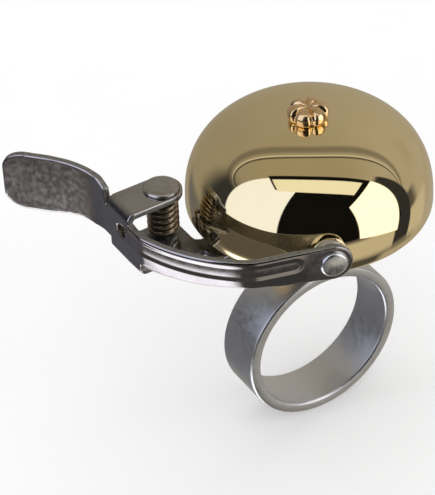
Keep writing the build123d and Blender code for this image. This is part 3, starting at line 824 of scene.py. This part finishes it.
def arc_points(centre, radius, start, end, steps):
    """Points of an arc in the flat sheet's plane."""
    angles = [math.radians(start + (end - start) * k / steps) for k in range(steps + 1)]
    return [centre + Vector((math.cos(a), math.sin(a))) * radius for a in angles]


# ==== striker lever ========================================================
def lever_path(web_x, tab_end_y):
    """Outer face of the lever in plan, from the centre of the eye to the thumb end."""
    elbow_turn = EYE_HEADING - ELBOW_ANGLE
    arm_turn = elbow_turn - ARM_ANGLE
    point = EYE + polar(EYE_HEADING, EYE_RUN)
    for start, end, radius in (
        (EYE_HEADING, elbow_turn, ELBOW_RADIUS),
        (elbow_turn, arm_turn, ARM_RADIUS),
    ):
        point = point + polar(start - 90, radius) + polar(end + 90, radius)
    last_turn = arm_turn - 90
    web_bend = (point.x - web_x) / (1 - math.cos(math.radians(last_turn)))
    web_start_y = point.y + web_bend * math.sin(math.radians(last_turn))
    moves = [
        (EYE_RUN, 0),
        (ELBOW_RADIUS, -ELBOW_ANGLE),
        (ARM_RADIUS, -ARM_ANGLE),
        (web_bend, -last_turn),
        (NECK_START_Y - web_start_y, 0),
        (NECK_RADIUS, NECK_ANGLE),
        (tab_end_y - NECK_START_Y, 0),
    ]
    return BendPath(EYE, EYE_HEADING, moves)


def lever_loops(path, upper_fold_z, lower_fold_z):
    """Outline and holes of the lever's flat blank.

    The tab's heights come from the box of the CAD lever; an ear carries on straight
    past its fold line, and is folded over later.
    """
    high = node_box("striker_lever")[1]
    pivot_x, pivot_y = pivot()
    web_depth = pivot_x - WEB_X
    upper_reach = upper_fold_z + UPPER_FOLD_RADIUS * (math.pi / 2 - 1) + web_depth
    lower_reach = lower_fold_z - LOWER_FOLD_RADIUS * (math.pi / 2 - 1) - web_depth
    shoulder = lower_reach + web_depth - LOWER_EAR_SHOULDER

    def side(y, z):
        return Vector((path.run_to(1, y), z))

    def side_arc(y, z, radius, start, end):
        return [side(p.x, p.y) for p in arc_points(Vector((y, z)), radius, start, end, 10)]

    eye = arc_points(Vector((0, EYE.z)), EYE_RADIUS, 90, 270, 26)
    web_run = path.run_to(1, LOWER_EAR_MIN_Y)
    arm_low = []
    for step in range(1, 40):
        run = web_run * step / 40
        arm_low.append(Vector((run, through(ARM_LOW_EDGE, EYE.x - path.at(run)[0].x))))
    lower_far = pivot_y + LOWER_EAR_RADIUS
    lower_centre = Vector((path.run_to(1, pivot_y), lower_reach))
    lower_ear = [
        side(LOWER_EAR_MIN_Y, ARM_LOW_EDGE[-1][1]),
        side(LOWER_EAR_MIN_Y, shoulder),
        *arc_points(lower_centre, LOWER_EAR_RADIUS, 190, 360, 18),
        side(lower_far, lower_fold_z),
        side(lower_far, NECK_LOW_Z + 0.4),
    ]
    tab_end_y = high.y - LEVER_SHEET * math.sin(math.radians(NECK_ANGLE))
    tab_corner_y = tab_end_y - TAB_CORNER_RADIUS
    neck = [
        side(NECK_START_Y, NECK_LOW_Z + 0.4),
        side(NECK_START_Y + 3, NECK_LOW_Z),
        side(NECK_START_Y + 6, NECK_LOW_Z + 0.35),
    ]
    tab = [
        side(TAB_JOIN_Y, TAB_BOTTOM_Z),
        *side_arc(tab_corner_y, TAB_BOTTOM_Z + TAB_CORNER_RADIUS, TAB_CORNER_RADIUS, -90, 0),
        *side_arc(tab_corner_y, high.z - TAB_CORNER_RADIUS, TAB_CORNER_RADIUS, 0, 90),
        side(TAB_JOIN_Y, high.z),
    ]
    upper_far = pivot_y + UPPER_EAR_RADIUS
    upper_near = pivot_y - UPPER_EAR_RADIUS
    upper_centre = Vector((path.run_to(1, pivot_y), upper_reach))
    shoulders = [
        side(NECK_START_Y + 2, high.z - 0.9),
        side(upper_far + 0.8, high.z - 2.1),
        side(upper_far + EAR_SLIT, upper_fold_z - 0.1),
        side(upper_far, upper_fold_z - 0.1),
    ]
    upper_ear = [
        *arc_points(upper_centre, UPPER_EAR_RADIUS, 0, 180, 24),
        side(upper_near, upper_fold_z),
        side(upper_near - 1.2, ARM_TOP_Z),
    ]
    outline = eye + softened(arm_low, 0.5, 2, closed=False) + lower_ear + neck + tab
    outline = outline + shoulders + upper_ear
    slot_centre = Vector((path.run_to(1, SLOT_Y), SLOT_Z))
    slot_corners = [
        slot_centre + Vector((across * SLOT_HALF_LENGTH, up * SLOT_HALF_HEIGHT))
        for across, up in ((-1, -1), (1, -1), (1, 1), (-1, 1))
    ]
    hole = PIN_RADIUS + PIN_FIT
    holes = [softened(slot_corners, 0.5, 4)]
    for centre in (upper_centre, lower_centre):
        holes.append(arc_points(centre, hole, 0, 345, 23))
    holes.append(arc_points(Vector((0, EYE.z)), RIVET_SHANK, 0, 345, 23))
    return [outline] + holes


def build_lever():
    """One stamping: crowned and grooved arm, web with two folded ears, thumb tab."""
    low, high = node_box("striker_lever")
    pivot_y = pivot().y
    pin_top = node_box("pivot_pin")[1].z
    upper_fold_z = pin_top - PIN_HEAD_HEIGHT - PIN_FIT - UPPER_FOLD_RADIUS
    lower_fold_z = low.z + LOWER_FOLD_RADIUS
    path = lever_path(WEB_X, high.y)
    loops = lever_loops(path, upper_fold_z, lower_fold_z)
    web_run = path.run_to(1, LOWER_EAR_MIN_Y)
    slot_run = path.run_to(1, SLOT_Y)

    def relief(run, height):
        """Depth of the pressed crown along the arm."""
        share = smooth_step((run - EYE_RADIUS) / 4) * smooth_step((web_run + 5 - run) / 9)
        return ARM_CROWN * share * min(((height - GROOVE_Z) / 2.9) ** 2, 1.4)

    def groove(run, height):
        """Depth of the groove in the outer face."""
        along = max(GROOVE_END_RUN - run, 0.0)
        off_axis = math.hypot(along, height - GROOVE_Z)
        side = smooth_step((GROOVE_HALF - off_axis) / GROOVE_WALL + 0.5)
        return GROOVE_DEPTH * side * smooth_step((slot_run + 1.5 - run) / 1.5)

    def place(run, height, depth):
        """Point of the bent lever for a point of its flat blank."""
        point, heading = path.at(run)
        below = depth + relief(run, height)
        if depth < LEVER_SHEET / 2:
            below += groove(run, height)
        upper = height - upper_fold_z
        lower = lower_fold_z - height
        if upper > 0 and pivot_y - UPPER_EAR_RADIUS - 0.1 < point.y < pivot_y + UPPER_EAR_RADIUS + 0.1:
            return folded(point, upper_fold_z, upper, UPPER_FOLD_RADIUS, below, 1)
        if lower > 0 and LOWER_EAR_MIN_Y - 0.1 < point.y < pivot_y + LOWER_EAR_RADIUS + 0.1:
            return folded(point, lower_fold_z, lower, LOWER_FOLD_RADIUS, below, -1)
        point = point + polar(heading - 90, below)
        return Vector((point.x, point.y, height))

    lever = sheet("lever_sheet", loops, 0.32, LEVER_SHEET, 0.22, place, LEVER_STEEL, LEVER_BACK)
    stands_for(lever, "lever", "striker_lever")


def folded(point, fold_z, beyond, radius, depth, way):
    """Point of an ear some distance beyond its fold line; way is 1 up or -1 down."""
    turn = min(beyond / radius, math.pi / 2)
    flat_run = max(beyond - radius * math.pi / 2, 0.0)
    x = point.x + radius * (1 - math.cos(turn)) + flat_run + depth * math.cos(turn)
    z = fold_z + way * (radius - depth) * math.sin(turn)
    return Vector((x, point.y, z))


# ==== base bracket =========================================================
def build_bracket():
    """Stamped bracket: pivot plate outside the dome, joggled strap under it."""
    low, high = node_box("base_bracket")
    pin = pivot()
    drop = high.z - low.z - BRACKET_SHEET
    rise_share = 1 - math.cos(math.radians(JOGGLE_ANGLE))
    bends = rise_share * (2 * JOGGLE_RADIUS + BRACKET_SHEET)
    slope = (drop - bends) / math.sin(math.radians(JOGGLE_ANGLE))
    moves = [
        (JOGGLE_START_X - low.x, 0),
        (JOGGLE_RADIUS + BRACKET_SHEET, -JOGGLE_ANGLE),
        (slope, 0),
        (JOGGLE_RADIUS, JOGGLE_ANGLE),
        (high.x - JOGGLE_START_X, 0),
    ]
    path = BendPath((low.x, high.z), 0, moves)

    def flat(x, y):
        return Vector((path.run_to(0, x), y))

    end_radius = high.x
    join_angle = 180 - math.degrees(math.asin(STRAP_HALF_WIDTH / end_radius))
    centre = flat(0, 0)
    strap_end = arc_points(centre, end_radius, -join_angle, join_angle, 40)
    corners = [
        strap_end[-1], flat(PLATE_MAX_X, STRAP_HALF_WIDTH), flat(PLATE_MAX_X, high.y),
        flat(low.x, high.y), flat(low.x, PLATE_MIN_Y), flat(PLATE_MAX_X, PLATE_MIN_Y),
        flat(PLATE_MAX_X, -STRAP_HALF_WIDTH), strap_end[0],
    ]
    outline = softened(corners, PLATE_CORNER_RADIUS, 5, closed=False) + strap_end[1:-1]
    low_leg = flat(pin.x + LOW_LEG_REACH, pin.y + COIL_RADIUS)
    holes = [
        arc_points(centre, BOLT_HOLE_RADIUS, 0, 345, 23),
        arc_points(flat(pin.x, pin.y), PIN_RADIUS + 0.03, 0, 345, 23),
        arc_points(low_leg, WIRE_RADIUS + LEG_HOLE_CLEARANCE, 0, 330, 11),
    ]

    def place(run, y, depth):
        point, heading = path.at(run)
        point = point + polar(heading - 90, depth)
        return Vector((point.x, y, point.y))

    # both faces and the cut edges take the steel painted dark for the shade under the dome
    looks = (PAINTED_SHADE_STEEL, PAINTED_SHADE_STEEL)
    bracket = sheet("bracket_sheet", [outline] + holes, 0.6, BRACKET_SHEET, 0.25, place, *looks)
    stands_for(bracket, "base", "base_bracket")


# ==== torsion spring =======================================================
def spring_line():
    """Centre line of the wire from the foot of the low leg to the tip of the high leg."""
    low = node_box("torsion_spring")[0]
    pivot_x, pivot_y = pivot()
    far_y = pivot_y + COIL_RADIUS
    slope = COIL_PITCH / (2 * math.pi * COIL_RADIUS)
    top_z = COIL_BOTTOM_Z + COIL_PITCH * COIL_TURNS
    inside_web = WEB_X + LEVER_SHEET + WIRE_RADIUS + 0.1
    leg_x = pivot_x + LOW_LEG_REACH
    low_leg = [
        (leg_x, far_y, low.z), (leg_x, far_y, COIL_BOTTOM_Z - LOW_LEG_REACH * slope),
        (pivot_x, far_y, COIL_BOTTOM_Z),
    ]
    high_leg = [
        (pivot_x, far_y, top_z), (pivot_x - 1, far_y, top_z + slope),
        (inside_web, far_y, top_z + slope), (inside_web, LEG_SLOT_Y, LEG_SLOT_Z),
        (low.x, LEG_SLOT_Y, LEG_SLOT_Z),
    ]
    coil = []
    steps = 36 * COIL_TURNS
    for step in range(1, steps):
        angle = math.pi / 2 + 2 * math.pi * COIL_TURNS * step / steps
        rise = COIL_PITCH * COIL_TURNS * step / steps
        x, y = COIL_RADIUS * math.cos(angle), COIL_RADIUS * math.sin(angle)
        coil.append(Vector((pivot_x + x, pivot_y + y, COIL_BOTTOM_Z + rise)))
    first = subdivided(softened(low_leg, LEG_BEND_RADIUS, 6, closed=False), 0.8, closed=False)
    last = subdivided(softened(high_leg, LEG_BEND_RADIUS, 6, closed=False), 0.8, closed=False)
    return without_repeats(first + coil + last, 0.02)


def build_spring():
    """Round wire along the spring's centre line, capped flat at both ends."""
    line = spring_line()
    around = 16
    vertices = []
    normal = Vector((0, 1, 0))
    for index, point in enumerate(line):
        ahead = line[min(index + 1, len(line) - 1)]
        behind = line[max(index - 1, 0)]
        direction = (ahead - behind).normalized()
        normal = (normal - direction * normal.dot(direction)).normalized()
        across = direction.cross(normal)
        for step in range(around):
            angle = 2 * math.pi * step / around
            vertices.append(point + (normal * math.cos(angle) + across * math.sin(angle)) * WIRE_RADIUS)
    faces = []
    for row in range(len(line) - 1):
        for step in range(around):
            after = (step + 1) % around
            low, high = row * around, (row + 1) * around
            faces.append((low + step, low + after, high + after, high + step))
    last = (len(line) - 1) * around
    faces.append(tuple(range(around))[::-1])
    faces.append(tuple(range(last, last + around)))
    spring = new_piece("spring_wire", vertices, faces, SPRING_STEEL, sharp_angle=60)
    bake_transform(spring)
    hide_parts("torsion_spring")


# ==== CAD pieces shown as they are =========================================
CAD_LOOKS = {
    "centre_bolt": BOLT_STEEL,
    # the standoff takes the same steel painted dark for the shade under the dome
    "ring_standoff": PAINTED_SHADE_STEEL,
    "lock_washer": BOLT_STEEL,
    "bracket_nut": BOLT_STEEL,
    "post_sleeve": SLEEVE_STEEL,
    "seat_washer": FIBRE,
    "pin_washer": BOLT_STEEL,
    "retaining_clip": SLEEVE_STEEL,
    "spring_sleeve": SLEEVE_STEEL,
    "hammer_washer": SLEEVE_STEEL,
}


def finish_cad_pieces():
    """Ease the edges of the CAD pieces that are shown and give them their metal."""
    for name, material in CAD_LOOKS.items():
        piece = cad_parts[name]
        piece.data.materials.clear()
        piece.data.materials.append(material)
        weld = piece.modifiers.new("weld", "WELD")
        weld.merge_threshold = 0.001 * MM
        ease = piece.modifiers.new("eased_edges", "BEVEL")
        ease.width = 0.06 * MM
        ease.segments = 2
        ease.limit_method = "ANGLE"
        ease.angle_limit = math.radians(40)


# ==== studio ===============================================================
BAR_LIGHT = (0.93, 0.92, 0.81)
RIGHT_PANEL_LIGHT = (1.50, 1.50, 1.45)
LEFT_PANEL_LIGHT = (1.02, 1.08, 1.28)
TABLE_LIGHT = (2.30, 2.30, 2.34)
LEFT_ROOM_LIGHT = (0.31, 0.285, 0.235)
RIGHT_ROOM_LIGHT = (0.44, 0.40, 0.335)
UPPER_ROOM_LIGHT = (0.35, 0.31, 0.22)
CLUTTER_LIGHT = (0.10, 0.09, 0.08)
LOW_LIGHT = (0.56, 0.51, 0.42)
LOW_LEFT_LIGHT = (0.15, 0.15, 0.16)
CEILING_DARK = (0.005, 0.005, 0.005)
RIGHT_DARK = (0.030, 0.032, 0.036)
LEFT_DARK = (0.034, 0.036, 0.042)
UNDER_DARK = (0.08, 0.075, 0.07)
SEAM_LIGHT = (0.62, 0.58, 0.52)
SEAM_DARK = (0.10, 0.085, 0.07)
SEAM_LEFT = -0.40
SEAM_MIDDLE = -0.01
SEAM_REACH = 0.48
SEAM_STRETCH = 0.99


def beyond(tree, value, edge, softness):
    """1 where value is greater than the edge, fading over the softness."""
    return ramped(tree, value, edge - softness, edge + softness, 0.0, 1.0)


def short_of(tree, value, edge, softness):
    """1 where value is less than the edge, fading over the softness."""
    return ramped(tree, value, edge - softness, edge + softness, 1.0, 0.0)


def band(tree, value, low, high, softness):
    """1 where value lies between low and high."""
    return both(tree, beyond(tree, value, low, softness), short_of(tree, value, high, softness))


def both(tree, *masks):
    """1 where every mask is 1."""
    result = masks[0]
    for mask in masks[1:]:
        result = compute(tree, "MULTIPLY", result, mask)
    return result


def leaning(tree, value, slope, other):
    """The value less slope times another, for a mask with a slanting edge."""
    return compute(tree, "SUBTRACT", value, compute(tree, "MULTIPLY", other, slope))


def along_axis(tree, direction, axis):
    """Part of a direction along a fixed axis."""
    inputs = {0: direction, 1: axis}
    return add_node(tree, "ShaderNodeVectorMath", inputs, operation="DOT_PRODUCT").outputs["Value"]


def mirrored_room(tree):
    """Light of the room that polished metal mirrors, by direction.

    Azimuth grows to the right of the camera and elevation above the horizon, in degrees.
    aside and ahead are places on a level ceiling one unit up, ahead being towards the camera.
    """
    turn = math.radians(STUDIO_AZIMUTH)
    direction = add_node(tree, "ShaderNodeTexCoord").outputs["Generated"]
    to_camera = along_axis(tree, direction, (math.sin(turn), -math.cos(turn), 0.0))
    to_right = along_axis(tree, direction, (math.cos(turn), math.sin(turn), 0.0))
    upward = along_axis(tree, direction, (0.0, 0.0, 1.0))
    height = compute(tree, "MAXIMUM", upward, 0.02)
    aside = compute(tree, "DIVIDE", to_right, height)
    ahead = compute(tree, "DIVIDE", to_camera, height)
    azimuth = compute(tree, "MULTIPLY", compute(tree, "ARCTAN2", to_right, to_camera), math.degrees(1))
    elevation = compute(tree, "MULTIPLY", compute(tree, "ARCSINE", upward), math.degrees(1))
    sideways = compute(tree, "ABSOLUTE", azimuth)

    def paint(colour, *masks):
        return mixed(tree, both(tree, *masks), light, (*colour, 1.0))

    to_right_share = beyond(tree, to_right, 0.0, 0.7)
    light = mixed(tree, to_right_share, (*LEFT_ROOM_LIGHT, 1.0), (*RIGHT_ROOM_LIGHT, 1.0))
    light = paint(UPPER_ROOM_LIGHT, beyond(tree, elevation, 55, 20))
    drift = noise(tree, direction, 2.2, 3.0, 0.5)
    light = paint(UPPER_ROOM_LIGHT, ramped(tree, drift, 0.4, 0.8, 0.0, 0.5))

    # the desk below, dark straight under the bell
    light = paint(TABLE_LIGHT, short_of(tree, elevation, -40.5, 2), band(tree, azimuth, -86, -18, 6))
    light = paint(UNDER_DARK, short_of(tree, elevation, -36, 2.5), band(tree, azimuth, -16, 70, 6))
    light = paint(LOW_LIGHT, short_of(tree, elevation, -60, 6), short_of(tree, azimuth, -86, 6))

    # low furniture round the camera's side
    near_side = short_of(tree, sideways, 108, 6)
    light = paint(CLUTTER_LIGHT, near_side, band(tree, elevation, -38, 2, 3))
    light = paint(LOW_LIGHT, band(tree, azimuth, 16, 125, 5), band(tree, elevation, -36, -16, 3))

    # seam where the far wall meets the ceiling, bending forwards at its left end
    to_left = compute(tree, "MINIMUM", compute(tree, "SUBTRACT", aside, SEAM_LEFT), 0.0)
    to_left = compute(tree, "MULTIPLY", to_left, SEAM_REACH / SEAM_STRETCH)
    to_back = compute(tree, "MINIMUM", compute(tree, "SUBTRACT", ahead, SEAM_MIDDLE), 0.0)
    squares = compute(
        tree, "ADD", compute(tree, "POWER", to_left, 2.0), compute(tree, "POWER", to_back, 2.0)
    )
    seam = compute(tree, "SQRT", squares)
    ends = short_of(tree, aside, 2.9, 0.5)
    light = paint(CLUTTER_LIGHT, ramped(tree, band(tree, seam, 0.56, 0.70, 0.06), 0.0, 1.0, 0.0, 0.6))
    light = paint(SEAM_DARK, band(tree, seam, 0.435, 0.470, 0.010), ends)
    light = paint(SEAM_LIGHT, band(tree, seam, 0.478, 0.504, 0.006), ends)

    # dark corners left and right
    light = paint(LEFT_DARK, band(tree, azimuth, -110, -70, 12), band(tree, elevation, -10, 38, 9))
    light = paint(LOW_LEFT_LIGHT, band(tree, azimuth, -140, -90, 5), band(tree, elevation, -55, -18, 6))
    light = paint(RIGHT_DARK, band(tree, azimuth, 80, 99, 1), band(tree, elevation, -36, 46, 3))

    # dark ceiling, two lit panels and the lit bar overhead
    light = paint(
        CEILING_DARK,
        band(tree, azimuth, -30, 91, 1),
        beyond(tree, elevation, -12, 1),
        beyond(tree, leaning(tree, ahead, 0.07, aside), -0.07, 0.012),
    )
    light = paint(
        RIGHT_PANEL_LIGHT,
        beyond(tree, azimuth, 43.5, 0.6),
        short_of(tree, leaning(tree, azimuth, 0.11, elevation), 85, 0.8),
        beyond(tree, leaning(tree, elevation, -0.306, azimuth), 0.8, 0.8),
        beyond(tree, aside, 0.88, 0.01),
    )
    light = paint(
        LEFT_PANEL_LIGHT,
        beyond(tree, leaning(tree, azimuth, -0.26, elevation), -78.5, 0.8),
        short_of(tree, azimuth, -28, 0.6),
        beyond(tree, elevation, 0, 0.8),
        beyond(tree, ahead, -0.10, 0.012),
    )
    light = paint(
        CEILING_DARK,
        band(tree, aside, -0.43, 0.75, 0.008),
        beyond(tree, leaning(tree, ahead, 0.07, aside), -0.06, 0.01),
        short_of(tree, leaning(tree, ahead, 0.125, aside), 0.30, 0.01),
    )
    return paint(
        BAR_LIGHT,
        band(tree, aside, -0.40, 0.72, 0.01),
        beyond(tree, leaning(tree, ahead, 0.07, aside), 0.02, 0.01),
        short_of(tree, leaning(tree, ahead, 0.125, aside), 0.33, 0.01),
    )


def build_world():
    """White to the camera and to matt surfaces; a room with lit panels to metal."""
    world = bpy.data.worlds.new("studio")
    bpy.context.scene.world = world
    tree = empty_tree(world)
    light = mirrored_room(tree)
    rays = add_node(tree, "ShaderNodeLightPath")
    plain = mixed(tree, rays.outputs["Is Glossy Ray"], WHITE, light)
    background = add_node(tree, "ShaderNodeBackground", {"Color": plain, "Strength": 1.0})
    finish_tree(tree, background, "ShaderNodeOutputWorld")


def build_floor():
    """Pale floor under the ring that metal doesn't mirror."""
    level = node_box("spacer_ring")[0].z - FLOOR_GAP
    places = [(step / FLOOR_STEPS - 0.5) * FLOOR_REACH for step in range(FLOOR_STEPS + 1)]
    vertices = [(x, y, level) for y in places for x in places]
    row = FLOOR_STEPS + 1
    corners = [row * j + k for j in range(FLOOR_STEPS) for k in range(FLOOR_STEPS)]
    faces = [(c, c + 1, c + row + 1, c + row) for c in corners]
    material = bpy.data.materials.new("pale_floor")
    tree = empty_tree(material)
    mottle = noise(tree, millimetres(tree), 0.02, 3.0, 0.5)
    tone = ramped(tree, mottle, 0.3, 0.7, 0.83, 0.85)
    diffuse = add_node(tree, "ShaderNodeBsdfDiffuse", {"Color": tone})
    glow = add_node(tree, "ShaderNodeEmission", {"Color": WHITE, "Strength": FLOOR_GLOW})
    shades = {0: diffuse.outputs[0], 1: glow.outputs[0]}
    finish_tree(tree, add_node(tree, "ShaderNodeAddShader", shades))
    floor = new_piece("floor", vertices, faces, material)
    floor.visible_glossy = False


def build_camera():
    """Camera at the picture's viewing angle."""
    azimuth = math.radians(VIEW_AZIMUTH)
    elevation = math.radians(VIEW_ELEVATION)
    roll = math.radians(VIEW_ROLL)
    back = Vector((
        math.sin(azimuth) * math.cos(elevation),
        -math.cos(azimuth) * math.cos(elevation),
        math.sin(elevation),
    ))
    level = Vector((math.cos(azimuth), math.sin(azimuth), 0.0))
    upright_axis = back.cross(level)
    right = level * math.cos(roll) + upright_axis * math.sin(roll)
    up = back.cross(right)
    lens = bpy.data.cameras.new("camera")
    lens.lens = LENS
    lens.sensor_width = SENSOR
    lens.clip_start = 0.01
    lens.clip_end = 10.0
    camera = bpy.data.objects.new("camera", lens)
    rotation = Matrix((right, up, back)).transposed()
    place = (VIEW_TARGET + back * VIEW_DISTANCE) * MM
    camera.matrix_world = Matrix.Translation(place) @ rotation.to_4x4()
    bpy.context.scene.collection.objects.link(camera)
    bpy.context.scene.camera = camera


build_dome()
build_nut()
build_ring()
build_pin()
build_pivot_spacer()
build_hammer()
build_lever()
build_bracket()
build_spring()
finish_cad_pieces()
build_world()
build_floor()
build_camera()
bpy.context.scene.view_settings.view_transform = "Standard"
